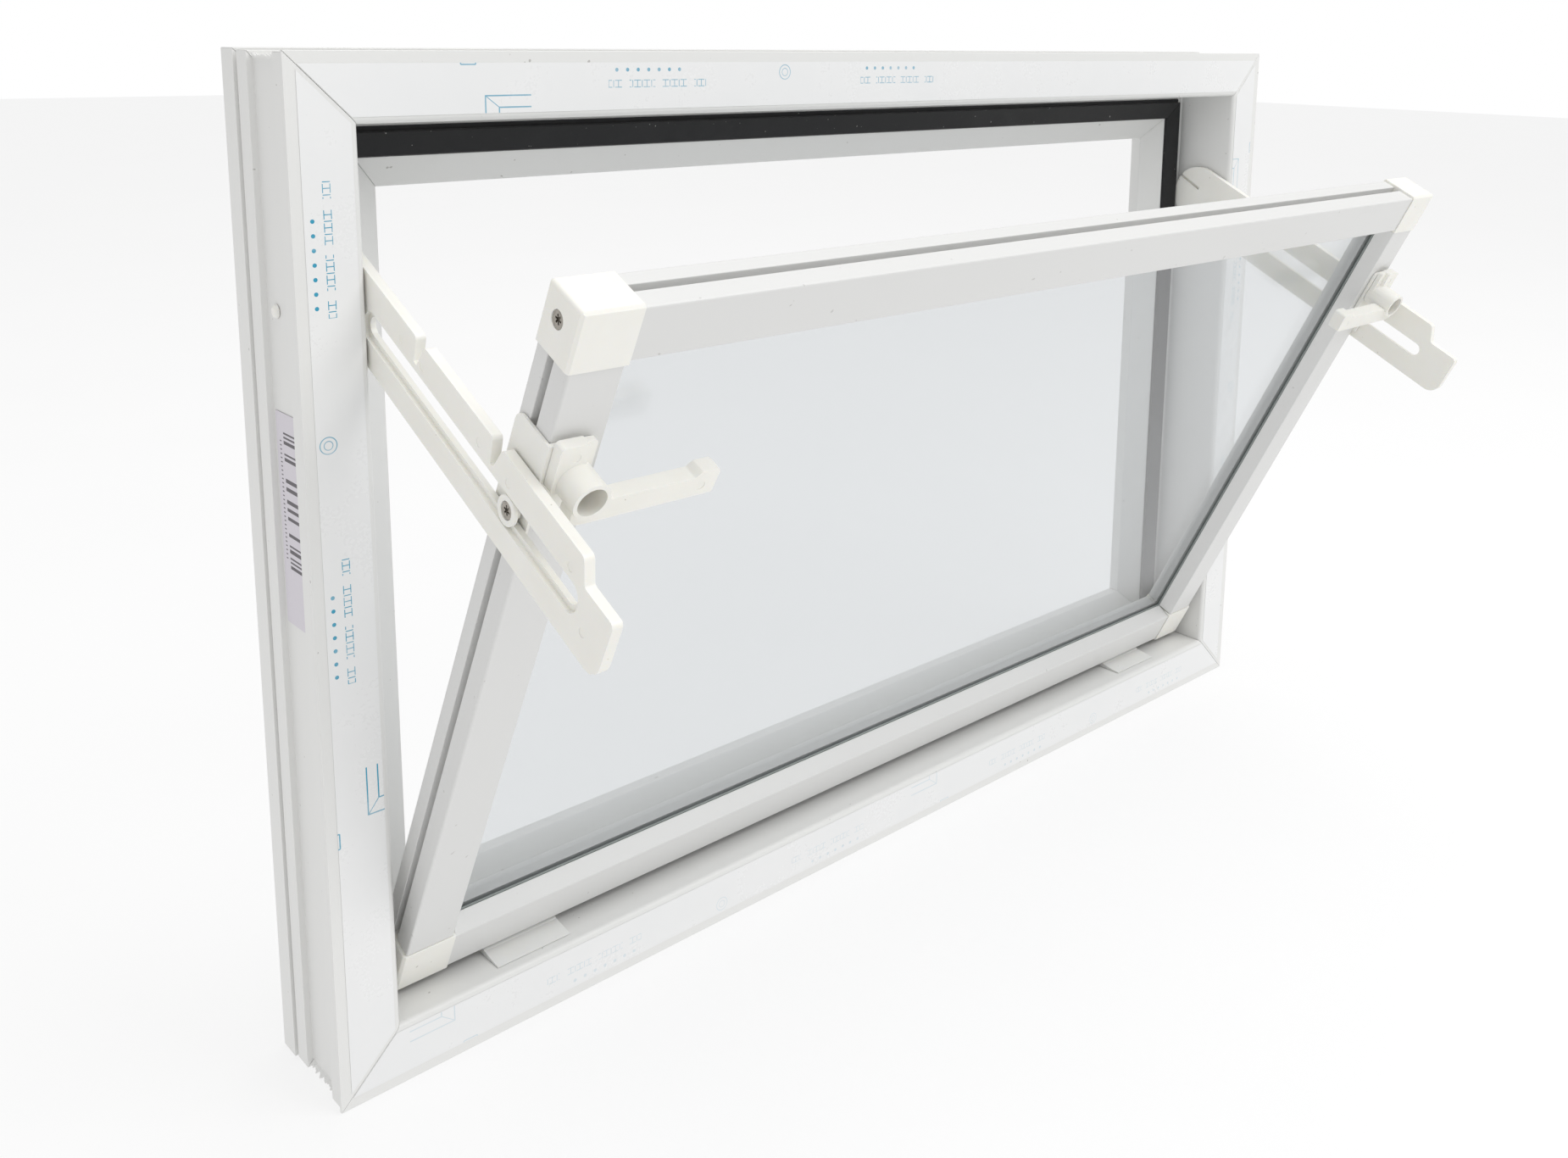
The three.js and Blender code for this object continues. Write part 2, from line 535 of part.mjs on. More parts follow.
for (const [side, hand] of [['left', -1], ['right', 1]]) {
  add(windowUnit, `hinge_block_${side}`, hingeBlock(hand), paint.moulded());
  add(sash, `sash_stile_${side}`, stile(hand), paint.sash());
  for (const [level, top] of [['top', true], ['bottom', false]]) {
    add(sash, `cap_${level}_${side}`, cap(hand, top), paint.moulded());
    const capScrew = screw(18);
    if (hand > 0) capScrew.rotateY(Math.PI);
    const upHole = top ? SASH_H - CAP_HOLE : CAP_HOLE;
    capScrew.translate(hand * (SASH_W / 2 - 0.5), -GROOVE_N, upHole);
    add(sash, `cap_screw_${level}_${side}`, capScrew, paint.steel());
  }
  add(sash, `stay_bracket_${side}`, bracket(hand), paint.moulded());
  add(sash, `turn_lever_${side}`, lever(hand), paint.moulded());
  add(sash, `lever_screw_${side}`, leverScrew(hand), paint.steel());
  add(stay, `stay_arm_${side}`, stayArm(hand), paint.moulded());
  add(stay, `slot_bush_${side}`, bush(hand), paint.moulded());
  const bushScrew = screw(STAY_OUT - STAY_IN - GAP - 0.5);
  add(stay, `bush_screw_${side}`, placeOnStay(bushScrew, hand, 0.5), paint.steel());
}

export default windowUnit;
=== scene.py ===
# %% [markdown]
# # A tilting utility window, finished in Blender
# The window is a mitred plastic frame with a glazed sash that leans into the room on two slotted
# stays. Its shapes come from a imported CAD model, so this script only gives them what the real
# thing has beyond its shape: softened edges, plastics, rubber, steel, glass, a printed
# protective film, light and a camera. The CAD parts are loaded first because everything else
# is placed from them.

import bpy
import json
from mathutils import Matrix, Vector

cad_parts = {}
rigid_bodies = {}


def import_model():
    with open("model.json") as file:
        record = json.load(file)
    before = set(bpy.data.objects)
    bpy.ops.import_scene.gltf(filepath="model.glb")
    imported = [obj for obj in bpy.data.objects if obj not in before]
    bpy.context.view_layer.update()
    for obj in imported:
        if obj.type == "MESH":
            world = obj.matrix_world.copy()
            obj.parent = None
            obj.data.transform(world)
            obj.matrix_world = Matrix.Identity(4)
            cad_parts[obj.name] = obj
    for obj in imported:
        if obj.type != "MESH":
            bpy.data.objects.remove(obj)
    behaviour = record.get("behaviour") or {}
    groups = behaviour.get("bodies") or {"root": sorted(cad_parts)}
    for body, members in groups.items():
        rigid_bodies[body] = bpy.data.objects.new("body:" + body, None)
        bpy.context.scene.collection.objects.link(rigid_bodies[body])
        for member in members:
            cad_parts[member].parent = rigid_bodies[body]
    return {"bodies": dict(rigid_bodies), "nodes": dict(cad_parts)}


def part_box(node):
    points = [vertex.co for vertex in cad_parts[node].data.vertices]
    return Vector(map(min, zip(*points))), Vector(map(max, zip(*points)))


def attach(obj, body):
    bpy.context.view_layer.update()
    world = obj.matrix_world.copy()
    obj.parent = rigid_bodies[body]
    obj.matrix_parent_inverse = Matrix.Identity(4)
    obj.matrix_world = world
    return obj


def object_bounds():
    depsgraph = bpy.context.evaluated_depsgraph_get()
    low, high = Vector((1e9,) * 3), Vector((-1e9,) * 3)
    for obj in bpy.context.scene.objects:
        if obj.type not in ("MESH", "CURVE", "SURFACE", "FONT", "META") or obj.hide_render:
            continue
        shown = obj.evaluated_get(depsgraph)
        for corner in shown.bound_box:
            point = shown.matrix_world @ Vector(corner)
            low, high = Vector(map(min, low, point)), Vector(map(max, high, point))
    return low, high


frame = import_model()
nodes = frame["nodes"]

# %% [markdown]
# A new Blender file holds a cube, a lamp and a camera. They are taken out, so that the box round
# the window is the window's own. That box is kept, because the finishes must not make it grow.

# %% Clear the bench and measure the window
import json
import math

import bpy
from mathutils import Euler, Vector

for extra in set(bpy.data.objects) - set(nodes.values()) - set(frame["bodies"].values()):
    bpy.data.objects.remove(extra)
bpy.context.view_layer.update()
cad_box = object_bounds()
size = cad_box[1] - cad_box[0]
print("window, mm:", [round(s * 1000) for s in size])

# %% [markdown]
# ## Softened edges
# Welded and moulded plastic has no knife edges, and the thin line of light on each edge is most
# of what makes it look real. The edges could be rounded in the CAD, but hundreds of tiny fillets
# would weigh down its collision model. A stack of modifiers does it here and leaves the CAD
# mesh alone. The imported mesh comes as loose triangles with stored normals, so a small
# geometry-nodes group first joins them and drops those normals.

# %% Node group that makes one clean shell
def geometry_group(name, steps):
    """A geometry-nodes group that runs the geometry through each (type, input values) in turn."""
    group = bpy.data.node_groups.new(name, "GeometryNodeTree")
    for way in ("INPUT", "OUTPUT"):
        group.interface.new_socket("Geometry", in_out=way, socket_type="NodeSocketGeometry")
    last = group.nodes.new("NodeGroupInput").outputs[0]
    for kind, values in steps:
        step = group.nodes.new("GeometryNode" + kind)
        for socket, value in values.items():
            step.inputs[socket].default_value = value
        group.links.new(last, step.inputs[0])
        last = step.outputs[0]
    group.links.new(last, group.nodes.new("NodeGroupOutput").inputs[0])
    return group


JOIN_WITHIN = 1e-5    # metres between corners that are one corner
stored = ("custom_normal", "sharp_edge", "sharp_face")
clean_shell = geometry_group("clean shell", [
    ("MergeByDistance", {"Distance": JOIN_WITHIN}),
    *(("RemoveAttribute", {"Name": name}) for name in stored),
    ("SetShadeSmooth", {}),
])
print("clean shell:", len(clean_shell.nodes), "nodes")

# %% [markdown]
# After the clean-up, flat areas are merged so that the bevel meets real edges only, each edge
# sharper than 30 degrees is rounded, and normals weighted by area keep the large faces flat.

# %% Soften the edges of every part
MM = 0.001
SOFTNESS = {  # edge radius in mm, by how the part's name starts
    "frame": 0.35, "film": 0.05, "gasket": 0.25, "sash": 0.4, "glass": 0.2, "glazing": 0.2,
    "cap_screw": 0.12, "bush_screw": 0.12, "lever_screw": 0.15, "cap": 1.3, "stay_arm": 0.55,
    "stay_bracket": 0.55, "slot_bush": 0.25, "turn_lever": 0.55, "hinge": 0.4, "bar_label": 0.04,
    "channel": 0.3,
}
FLAT_WITHIN = math.radians(0.5)
EDGE_FROM = math.radians(30)


def soften(part, radius, steps=2):
    part.modifiers.new("shell", "NODES").node_group = clean_shell
    flat = part.modifiers.new("flat", "DECIMATE")
    flat.decimate_type = "DISSOLVE"
    flat.angle_limit = FLAT_WITHIN
    edge = part.modifiers.new("edge", "BEVEL")
    edge.width = radius * MM
    edge.segments = steps
    edge.limit_method = "ANGLE"
    edge.angle_limit = EDGE_FROM
    even = part.modifiers.new("even", "WEIGHTED_NORMAL")
    even.keep_sharp = False
    even.weight = 90


for name, part in nodes.items():
    starts = [s for s in SOFTNESS if name.startswith(s)]
    soften(part, SOFTNESS[max(starts, key=len)])
print("softened", len(nodes), "parts")

# %% [markdown]
# ## Shader maths
# A finish is a graph of shader nodes. Written as plain Python expressions it stays readable, so
# `Wire` wraps one socket and turns +, - and * into Math nodes, and `Finish` makes any other
# node from its type, its settings and its inputs.

# %% Wire and Finish
class Wire:
    """A socket that can stand in an expression."""

    def __init__(self, finish, socket):
        self.finish, self.socket = finish, socket

    def out(self, name):
        return Wire(self.finish, self.socket.node.outputs[name])

    def maths(self, operation, *values):
        return self.finish.node("Math", {"operation": operation}, dict(enumerate(values)))

    def __add__(self, other):
        return self.maths("ADD", self, other)

    def __sub__(self, other):
        return self.maths("SUBTRACT", self, other)

    def __rsub__(self, other):
        return self.maths("SUBTRACT", other, self)

    def __mul__(self, other):
        return self.maths("MULTIPLY", self, other)

    def __abs__(self):
        return self.maths("ABSOLUTE", self)

    __radd__, __rmul__ = __add__, __mul__


class Finish:
    """A material and the nodes that drive it."""

    def __init__(self, name, **constants):
        self.material = bpy.data.materials.new(name)
        self.material.use_nodes = True
        self.tree = self.material.node_tree
        self.shader = self.tree.nodes["Principled BSDF"]
        self.output = self.tree.nodes["Material Output"]
        for socket, value in constants.items():
            self.shader.inputs[socket.replace("_", " ")].default_value = value

    def node(self, kind, settings=None, inputs=None, output=0):
        made = self.tree.nodes.new("ShaderNode" + kind)
        for key, value in (settings or {}).items():
            setattr(made, key, value)
        for key, value in (inputs or {}).items():
            self.plug(made.inputs[key], value)
        return Wire(self, made.outputs[output])

    def plug(self, socket, value):
        if isinstance(value, Wire):
            self.tree.links.new(value.socket, socket)
        elif isinstance(value, tuple) and len(value) == 3 and socket.type == "RGBA":
            socket.default_value = (*value, 1)
        else:
            socket.default_value = value

    def drive(self, **sockets):
        for socket, value in sockets.items():
            self.plug(self.shader.inputs[socket.replace("_", " ")], value)


print("Wire and Finish ready")

# %% [markdown]
# A few patterns recur in every finish: the place on the part, a soft threshold, a blend of two
# colours, noise, and a mask of the part's edges. The edge mask compares the true normal with a
# rounded one: they differ only beside an edge.

# %% Shared patterns
def place(f):
    """x, y and z on the part at rest, in metres."""
    point = f.node("TexCoord", output="Object")
    split = f.node("SeparateXYZ", None, {0: point})
    return point, split.out("X"), split.out("Y"), split.out("Z")


def ramp(f, value, low, high, start=0.0, end=1.0):
    """start below low, end above high, and a smooth change between."""
    span = {"From Min": low, "From Max": high, "To Min": start, "To Max": end}
    return f.node("MapRange", {"interpolation_type": "SMOOTHSTEP"}, {"Value": value, **span})


def blend(f, amount, under, over):
    return f.node("Mix", {"data_type": "RGBA"}, {0: amount, 6: under, 7: over}, output=2)


def noise(f, point, scale, detail=3.0, rough=0.55):
    return f.node("TexNoise", None,
                  {"Vector": point, "Scale": scale, "Detail": detail, "Roughness": rough})


def stretched(f, point, scale):
    """The place, scaled by a different number along each axis."""
    return f.node("VectorMath", {"operation": "MULTIPLY"}, {0: point, 1: scale})


def edges(f, radius_mm):
    rounded = f.node("Bevel", {"samples": 4}, {"Radius": radius_mm * MM})
    true = f.node("NewGeometry", output="Normal")
    match = f.node("VectorMath", {"operation": "DOT_PRODUCT"}, {0: rounded, 1: true}, output="Value")
    return ramp(f, match, 0.995, 0.93)


def bump(f, height, distance_mm, strength=1.0):
    return f.node("Bump", None, {"Height": height, "Distance": distance_mm * MM, "Strength": strength})


print("patterns ready")

# %% [markdown]
# ## Extruded PVC
# Frame and sash bars are extruded: the die leaves faint lines along each bar, and sawing,
# welding and handling leave scuffs and a little grey dirt. The lines are noise stretched hard
# along the bar, so the bars that stand and the bars that lie need the stretch on a different
# axis. Painted grain would look the same in both, which is why the finish takes the axis.

# %% Extruded bars
WHITE = (0.80, 0.80, 0.785)
GRIME = (0.50, 0.49, 0.46)
WORN = (0.86, 0.86, 0.85)
SPECK = (0.28, 0.26, 0.24)
# The sash's white below is darker than the frame's: painted shade for the sash's leaning faces, which
# look down, away from the top light.
SASH_WHITE_WITH_PAINTED_SHADE = (0.73, 0.73, 0.72)
ALONG, ACROSS = 12.0, 1500.0    # how fine the die lines are, along and across the bar


def extruded(name, axis, colour=WHITE, dirt=1.0):
    f = Finish(name, IOR=1.52, Specular_IOR_Level=0.45)
    point, _, _, _ = place(f)
    along = tuple(ALONG if i == axis else ACROSS for i in range(3))
    lines = noise(f, stretched(f, point, along), 1.0, 2.0)
    cloud = noise(f, point, 14.0, 5.0, 0.6)
    fine = noise(f, point, 420.0, 3.0, 0.6)
    smudge = ramp(f, cloud, 0.60, 0.82) * ramp(f, fine, 0.30, 0.70)
    speck = ramp(f, noise(f, point, 260.0, 1.0, 0.3), 0.79, 0.83)
    edge = edges(f, 0.7)
    base = blend(f, smudge * (0.09 * dirt), colour, GRIME)
    base = blend(f, speck * (0.55 * dirt), base, SPECK)
    base = blend(f, edge * 0.35, base, WORN)
    f.drive(Base_Color=base,
            Roughness=0.30 + lines * 0.10 + smudge * 0.25 + edge * 0.08,
            Normal=bump(f, lines * 0.30 + fine * 0.15, 0.03))
    return f.material


AXES = {"x": 0, "y": 1, "z": 2}
frame_finish = {axis: extruded("frame_pvc_" + axis, AXES[axis]) for axis in "xz"}
sash_finish = {axis: extruded("sash_pvc_" + axis, AXES[axis], SASH_WHITE_WITH_PAINTED_SHADE, 0.6) for axis in "xz"}
print("extruded finishes:", [m.name for m in (*frame_finish.values(), *sash_finish.values())])

# %% [markdown]
# ## Protective film with its print
# The room face of each frame bar still wears the thin film it was made with. It is a little
# glossier than the plastic, has shallow ripples, and carries a pale blue print that repeats
# along the bar. The print here is a plain one made for this lesson: rows of dots, runs of
# thin strokes, a ring and a corner sign. Drawing it in the shader keeps it sharp at any size
# and follows the bar exactly, which a picture mapped onto it would not.

# %% Marks of the print
INK = (0.03, 0.33, 0.50)
LINE = 0.40 * MM      # half a drawn line
THIN = 0.24 * MM
STROKE = 0.26 * MM


def near(f, value, middle, half, soft=0.12 * MM):
    """1 where value is within half of middle."""
    return ramp(f, abs(value - middle), half + soft, half - soft)


def segment(f, along, across, a0, a1, level, half=LINE):
    return near(f, along, (a0 + a1) / 2, (a1 - a0) / 2) * near(f, across, level, half)


def distance(f, a, b):
    return f.node("Math", {"operation": "SQRT"}, {0: a * a + b * b})


def repeat(f, value, pitch):
    """How far value is from the middle of its step, for steps of pitch."""
    return f.node("Math", {"operation": "PINGPONG"}, {0: value, 1: pitch / 2})


def dot_row(f, s, v, start, count, level, pitch=7.6 * MM, radius=1.15 * MM):
    step = repeat(f, s - start, pitch) - pitch / 2
    dots = near(f, distance(f, step, v - level), 0.0, radius)
    return dots * near(f, s, start + count * pitch / 2, count * pitch / 2)


def stroke_run(f, s, v, start, length, level):
    """Groups of thin upright strokes between two broken rules."""
    along = s - start
    stroke = near(f, repeat(f, along, 3.4 * MM), 0.0, STROKE) * near(f, v, level, 2.1 * MM)
    broken = near(f, repeat(f, along, 6.8 * MM), 0.0, 2.4 * MM)
    rule = near(f, abs(v - level), 2.0 * MM, THIN) * broken
    group = near(f, repeat(f, along, 24 * MM), 0.0, 9.4 * MM)
    return (stroke + rule) * group * near(f, s, start + length / 2, length / 2)


def corner_sign(f, s, v):
    outer = segment(f, s, v, 0, 29 * MM, 24.5 * MM) + segment(f, v, s, 24.5 * MM, 34 * MM, 0.3 * MM)
    inner = segment(f, s, v, 8.5 * MM, 29 * MM, 31 * MM) + segment(f, v, s, 31 * MM, 34 * MM, 8.7 * MM)
    slope = near(f, s - (v - 24.5 * MM) * 1.3, 0.3 * MM, LINE) * near(f, v, 27.7 * MM, 3.2 * MM)
    return outer + inner + slope


def small_tray(f, s, v):
    left, right, top, bottom = -14 * MM, -5 * MM, 5.6 * MM, 7.4 * MM
    return (segment(f, s, v, left, right, bottom) + segment(f, v, s, top, bottom, left)
            + segment(f, v, s, top, bottom, right))


def ring(f, s, v, at, level):
    r = distance(f, s - at, v - level)
    petals = near(f, r, 4.6 * MM, 0.3 * MM, 0.2 * MM) + near(f, r, 2.4 * MM, 0.25 * MM, 0.2 * MM)
    return petals * 0.75


def film_print(f, s, v):
    """The print once, from its corner sign at s = 0."""
    marks = corner_sign(f, s, v) + small_tray(f, s, v)
    for start in (83 * MM, 287 * MM):    # the dots and strokes come twice
        marks = marks + dot_row(f, s, v, start, 7, 10.8 * MM)
        marks = marks + stroke_run(f, s, v, start - 2 * MM, 72 * MM, 19 * MM)
    return marks + ring(f, s, v, 217 * MM, 13 * MM)


# %% [markdown]
# Each bar's film is its own finish, because the print runs round the frame: up the left jamb,
# rightwards along the head, down the right jamb and leftwards along the sill.

# %% Film for each side
low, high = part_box("frame_sill")[0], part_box("frame_head")[1]
PRINT_LENGTH = 420 * MM
FILM_WHITE, FILM_SHADE = (0.862, 0.865, 0.863), (0.848, 0.853, 0.853)


def along_side(side, x, z):
    """(distance along the bar, distance in from the outer edge) for one side's film."""
    return {
        "jamb_left": (z - low.z, x - low.x),
        "head": (x - low.x, high.z - z),
        "jamb_right": (high.z - z, high.x - x),
        "sill": (high.x - x, z - low.z),
    }[side]


def filmed(side, starts, ink):
    f = Finish("film_" + side, IOR=1.5, Specular_IOR_Level=0.5)
    point, x, _, z = place(f)
    s, v = along_side(side, x, z)
    marks = 0.0
    for start in starts:
        marks = film_print(f, s - start, v) + marks
    patchy = ramp(f, noise(f, point, 60.0, 3.0), 0.25, 0.6, 0.65, 1.0)
    ripple = noise(f, point, 22.0, 2.0)
    fine = noise(f, point, 500.0, 2.0)
    base = blend(f, ramp(f, ripple, 0.3, 0.8), FILM_WHITE, FILM_SHADE)
    base = blend(f, ramp(f, marks, 0.0, 1.0) * patchy * ink, base, INK)
    f.drive(Base_Color=base, Roughness=0.20 + ripple * 0.12 + fine * 0.05,
            Normal=bump(f, ripple + fine * 0.04, 0.03))
    return f.material


film_finish = {
    "jamb_left": filmed("jamb_left", [177 * MM], 1.0),
    "head": filmed("head", [111 * MM], 0.8),
    "jamb_right": filmed("jamb_right", [95 * MM], 0.5),
    "sill": filmed("sill", [828 * MM - PRINT_LENGTH * i for i in range(3)], 0.22),
}
print("film finishes:", len(film_finish), "print repeats every", PRINT_LENGTH, "m")

# %% [markdown]
# ## Moulded fittings
# Corner caps, stays, bushes, brackets and levers are injection moulded in a warmer, milky
# white, and the hinge blocks in one nearer the frame's. Moulding leaves a very fine orange
# peel, slow changes of gloss where the melt cooled, and slightly polished edges. A little
# subsurface light gives the milkiness.

# %% Moulded ivory plastic
def moulded(name, melt, cooled):
    f = Finish(name, IOR=1.49, Specular_IOR_Level=0.5, Subsurface_Weight=0.12,
               Subsurface_Scale=0.004)
    f.shader.inputs["Subsurface Radius"].default_value = (1.0, 0.8, 0.5)
    point, _, _, _ = place(f)
    flow = noise(f, point, 30.0, 4.0)
    peel = noise(f, point, 900.0, 2.0)
    dust = ramp(f, noise(f, point, 330.0, 1.0, 0.3), 0.80, 0.84)
    edge = edges(f, 1.0)
    base = blend(f, ramp(f, flow, 0.3, 0.7), melt, cooled)
    base = blend(f, edge * 0.3, base, (0.87, 0.87, 0.85))
    base = blend(f, dust * 0.5, base, (0.30, 0.27, 0.22))
    f.drive(Base_Color=base, Roughness=0.34 + flow * 0.12 + dust * 0.2 - edge * 0.05,
            Normal=bump(f, peel * 0.5 + flow * 0.5, 0.04))
    return f.material


moulded_finish = moulded("moulded_plastic", (0.90, 0.89, 0.845), (0.88, 0.87, 0.815))
hinge_finish = moulded("hinge_plastic", (0.82, 0.82, 0.80), (0.81, 0.81, 0.785))

# %% [markdown]
# ## Rubber, seal, label, steel and glass
# The frame gasket is matt black rubber that gathers pale dust. The glazing seal is a grey-green
# strip. The label in the channel is plain paper with generic bars. The screws are dark steel.

# %% Rubber and seal
def rubber(name, colour, dusty):
    f = Finish(name, IOR=1.5, Specular_IOR_Level=0.35, Sheen_Weight=0.05)
    point, _, _, _ = place(f)
    grain = noise(f, point, 700.0, 3.0)
    dust = ramp(f, noise(f, point, 420.0, 2.0, 0.4), 0.74, 0.80) * dusty
    haze = ramp(f, noise(f, point, 25.0, 4.0), 0.45, 0.8) * 0.25
    base = blend(f, haze, colour, tuple(c * 1.6 + 0.02 for c in colour))
    base = blend(f, dust, base, (0.55, 0.53, 0.50))
    f.drive(Base_Color=base, Roughness=0.50 + grain * 0.15 + dust * 0.2, Normal=bump(f, grain, 0.06))
    return f.material


gasket_finish = rubber("gasket_rubber", (0.012, 0.012, 0.013), 0.7)
seal_finish = rubber("glazing_seal", (0.26, 0.29, 0.28), 0.25)

# %% Label
def label_paper():
    f = Finish("label", IOR=1.45, Specular_IOR_Level=0.3)
    point, _, y, z = place(f)
    bottom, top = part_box("bar_label")
    middle = (bottom.y + top.y) / 2
    height = z - bottom.z
    fibre = noise(f, point, 800.0, 3.0)
    uneven = noise(f, stretched(f, point, (0, 0, 1)), 420.0, 0.0)
    field = near(f, height, 71 * MM, 41 * MM) * near(f, y, middle - 3 * MM, 8 * MM)
    bars = ramp(f, uneven, 0.50, 0.52) * field
    column = near(f, height, 72 * MM, 34 * MM) * near(f, y, middle + 9 * MM, 1.1 * MM)
    lines = near(f, repeat(f, height, 2.4 * MM), 0.0, 0.35 * MM) * column
    base = blend(f, fibre, (0.74, 0.71, 0.76), (0.70, 0.67, 0.72))
    base = blend(f, ramp(f, bars + lines, 0.2, 0.8) * 0.85, base, (0.05, 0.045, 0.05))
    f.drive(Base_Color=base, Roughness=0.50 + fibre * 0.15, Normal=bump(f, fibre, 0.03))
    return f.material


label_finish = label_paper()

# %% Dark steel
def steel():
    f = Finish("screw_steel", Metallic=1.0)
    point, _, _, _ = place(f)
    grain = noise(f, point, 1500.0, 3.0)
    tarnish = noise(f, point, 350.0, 3.0)
    edge = edges(f, 0.25)
    base = blend(f, ramp(f, tarnish, 0.3, 0.7), (0.30, 0.28, 0.25), (0.42, 0.39, 0.35))
    base = blend(f, edge * 0.7, base, (0.62, 0.60, 0.56))
    f.drive(Base_Color=base, Roughness=0.26 + tarnish * 0.22, Normal=bump(f, grain, 0.01))
    return f.material


steel_finish = steel()

# %% [markdown]
# Clear glass bends light so little in a thin pane that it can be made from two shaders: one that
# lets light straight through with a faint cool tint, and one that mirrors, mixed by how much the
# pane slants away from the eye. The ready-made Fresnel node would be shorter, but light does not
# bend here, so on the far side of the pane it would see only total reflection.

# %% Clear glass
GLASS_TINT = (0.862, 0.874, 0.882)


def clear_glass():
    f = Finish("glass")
    point, _, _, _ = place(f)
    wavy = noise(f, point, 6.0, 1.0)
    smear = ramp(f, noise(f, point, 18.0, 4.0), 0.5, 0.8)
    normal = bump(f, wavy, 0.2, 0.2)
    through = f.node("BsdfTransparent", None, {"Color": GLASS_TINT})
    mirror = f.node("BsdfAnisotropic", None,
                    {"Roughness": 0.15, "Normal": normal, "Color": (1, 1, 1)})
    slant = f.node("LayerWeight", None, {"Blend": 0.5}, output="Facing")
    gloss = f.node("Math", {"operation": "POWER"}, {0: slant, 1: 5.0}) * 0.8 + 0.10
    mixed = f.node("MixShader", None, {0: gloss + smear * 0.01, 1: through, 2: mirror})
    f.plug(f.output.inputs["Surface"], mixed)
    return f.material


glass_finish = clear_glass()
small = (gasket_finish, seal_finish, label_finish, steel_finish, glass_finish)
print("small finishes:", [m.name for m in small])

# %% [markdown]
# ## Dressing the parts
# Each part takes its finish from its name. Bars that lie run along x and bars that stand run
# along z, which sets the direction of their die lines.

# %% Give every part its finish
def finish_for(name):
    lying = name.split("_", 1)[-1].startswith(("sill", "head", "rail"))
    axis = "x" if lying else "z"
    if name.startswith("film_"):
        return film_finish[name[5:]]
    if name.startswith("frame_"):
        return frame_finish[axis]
    if name.startswith(("sash_rail", "sash_stile")):
        return sash_finish[axis]
    if name.startswith("gasket_"):
        return gasket_finish
    if "screw" in name:
        return steel_finish
    if name.startswith("hinge_block"):
        return hinge_finish
    single = {"glass_pane": glass_finish, "glazing_seal": seal_finish, "bar_label": label_finish}
    return single.get(name, moulded_finish)


for name, part in nodes.items():
    part.data.materials.clear()
    part.data.materials.append(finish_for(name))
print("dressed", len(nodes), "parts in", len({finish_for(n).name for n in nodes}), "finishes")

# %% [markdown]
# ## Weld flash
# The bars are welded at their mitres. The flash is planed off the faces, but in the outer
# channels it stays, as a thin ragged fin on the mitre. The CAD bars have clean mitres, since a
# torn edge is of no use to a collision model, so the fins are new pieces that ride on the frame.

# %% Fins in the outer channels
CHANNEL_DEEP = 4.7 * MM
CHANNEL = (14.8 * MM, 48.3 * MM)    # the channel's sides, behind the room face
FIN = 0.45 * MM                     # half the fin's thickness
FIN_HIGH, FIN_TORN = 2.6, 1.3       # mm: its usual height, and how much the tearing changes it
SUNK = 0.3 * MM                     # how deep its foot reaches into the bars


def weld_fin(name, side, upright, steps=26):
    out = Vector((side, 0, upright)).normalized()
    across = Vector((-upright * side, 0, 1)).normalized() * FIN
    corner = Vector((side * (high.x - CHANNEL_DEEP), 0,
                     high.z - CHANNEL_DEEP if upright > 0 else low.z + CHANNEL_DEEP))
    points, faces = [], []
    for i in range(steps + 1):
        y = low.y + CHANNEL[0] + (CHANNEL[1] - CHANNEL[0]) * i / steps
        tear = math.sin(2.1 * i + side) * math.sin(0.9 * i + 2 * upright) + 0.5 * math.sin(4.7 * i)
        tall = (FIN_HIGH + FIN_TORN * tear) * MM
        lean = across * (0.8 * math.sin(1.7 * i))
        for lift, shift in ((-SUNK, -1), (-SUNK, 1), (tall, 0.6), (tall, -0.6)):
            place_on_mitre = corner + Vector((0, y, 0)) + out * lift + across * shift
            points.append(place_on_mitre + lean * max(lift, 0) / MM * 0.4)
        if i:
            a, b = 4 * (i - 1), 4 * i
            faces += [(a + k, a + (k + 1) % 4, b + (k + 1) % 4, b + k) for k in range(4)]
    faces += [(3, 2, 1, 0), tuple(4 * steps + k for k in range(4))]
    mesh = bpy.data.meshes.new(name)
    mesh.from_pydata(points, [], faces)
    if side < 0:
        mesh.flip_normals()
    mesh.materials.append(frame_finish["z"])
    fin = bpy.data.objects.new(name, mesh)
    bpy.context.scene.collection.objects.link(fin)
    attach(fin, "frame")
    return fin


levels, hands = {"top": 1, "bottom": -1}, {"left": -1, "right": 1}
fins = [weld_fin(f"weld_flash_{level}_{hand}", hands[hand], levels[level])
        for level in levels for hand in hands]
print("fins:", [fin.name for fin in fins])

# %% [markdown]
# ## Studio
# The window stands on a pale floor in even white light. The floor could be a curved backdrop,
# but a wall would stand in the way of anyone looking from behind, so it is one wide plane. It
# glows a little, as a floor lit from below does, so that it stays white as far as the horizon.

# %% Floor
FLOOR_BELOW = 0.5 * MM


def pale_floor(reach=12.0):
    mesh = bpy.data.meshes.new("floor")
    corners = [(-reach, -reach), (reach, -reach), (reach, reach), (-reach, reach)]
    mesh.from_pydata([(x, y, low.z - FLOOR_BELOW) for x, y in corners], [], [(0, 1, 2, 3)])
    floor = bpy.data.objects.new("floor", mesh)
    bpy.context.scene.collection.objects.link(floor)
    f = Finish("pale_floor", Roughness=0.8, Emission_Color=(1, 1, 1, 1), Emission_Strength=0.70)
    point, _, _, _ = place(f)
    f.drive(Base_Color=blend(f, noise(f, point, 3.0), (0.25, 0.25, 0.25), (0.27, 0.27, 0.27)))
    mesh.materials.append(f.material)


pale_floor()
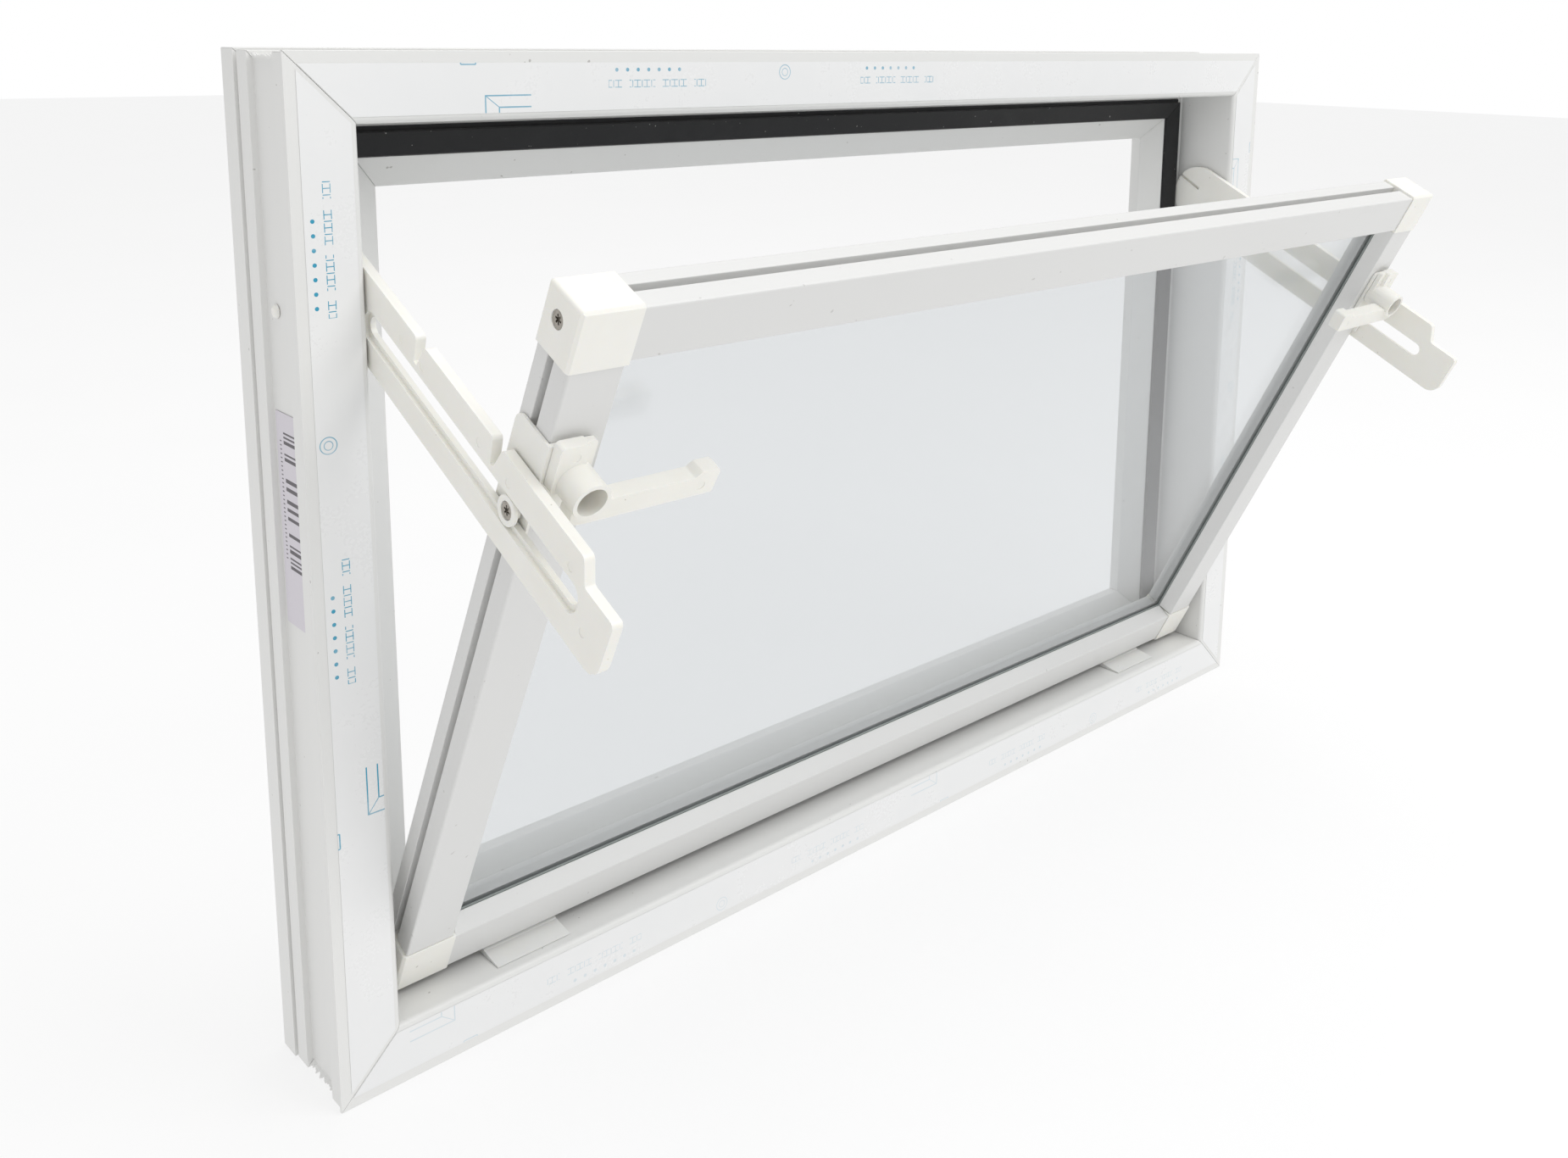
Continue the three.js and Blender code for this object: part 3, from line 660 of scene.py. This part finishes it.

# %% [markdown]
# The light is a white surround and two wide soft boxes: one overhead, and one in front, high on
# the right. A bare surround would light everything evenly and hide the shapes. With the boxes
# above, tops come out white and upright faces pale. The sash's leaning faces come out a shade darker,
# partly from the light and partly from painted shade in the sash's white.
# The surround looks brighter to the camera than the light it gives, which keeps it white.

# %% Light
WHITE_LIGHT = (1, 1, 1, 1)
SKY_LIGHT, SKY_SEEN = 0.63, 1.0
scene = bpy.context.scene
scene.view_settings.view_transform = "Standard"
world = scene.world or bpy.data.worlds.new("surround")
scene.world = world
world.use_nodes = True
surround = world.node_tree
sky = surround.nodes["Background"]
sky.inputs["Color"].default_value = WHITE_LIGHT
sky.inputs["Strength"].default_value = SKY_LIGHT
backdrop = surround.nodes.new("ShaderNodeBackground")
backdrop.inputs["Color"].default_value = WHITE_LIGHT
backdrop.inputs["Strength"].default_value = SKY_SEEN
path = surround.nodes.new("ShaderNodeLightPath")
choose = surround.nodes.new("ShaderNodeMixShader")
surround.links.new(path.outputs["Is Camera Ray"], choose.inputs[0])
surround.links.new(sky.outputs[0], choose.inputs[1])
surround.links.new(backdrop.outputs[0], choose.inputs[2])
surround.links.new(choose.outputs[0], surround.nodes["World Output"].inputs[0])


def soft_box(name, where, aim, width, height, watts):
    lamp = bpy.data.lights.new(name, "AREA")
    lamp.shape = "RECTANGLE"
    lamp.size, lamp.size_y, lamp.energy = width, height, watts
    holder = bpy.data.objects.new(name, lamp)
    holder.location = where
    holder.rotation_euler = (Vector(aim) - Vector(where)).to_track_quat("-Z", "Y").to_euler()
    scene.collection.objects.link(holder)


middle = (cad_box[0] + cad_box[1]) / 2
soft_box("top", (0.2, -0.6, 3.2), middle, 3.6, 3.0, 46)
soft_box("key", (1.2, -2.3, 2.6), middle, 2.0, 1.6, 27)

# %% [markdown]
# ## Camera
# The camera stands close, in front and to the left, a little above the frame's top edge, and
# looks slightly down. Its lens is raised on the film plane, as architects do, so that upright
# edges stay nearly upright. The shift is kept small so that other views still hold the window.

# %% Camera
EYE = Vector((-0.744, -0.8011, 0.6132))
LOOK = (79.38, -0.92, -43.54)    # degrees: up from straight down, lean, and turn to the right
lens = bpy.data.cameras.new("camera")
lens.sensor_width = 36
lens.lens = 33.32
lens.shift_x = -0.051
lens.shift_y = -0.175
lens.clip_start = 0.01
camera = bpy.data.objects.new("camera", lens)
camera.location = EYE
camera.rotation_euler = Euler([math.radians(angle) for angle in LOOK])
scene.collection.objects.link(camera)
scene.camera = camera
print("camera to middle of window:", round((middle - EYE).length, 3), "m")

# %% [markdown]
# Last, the scene is brought up to date.

# %% Finish
bpy.context.view_layer.update()
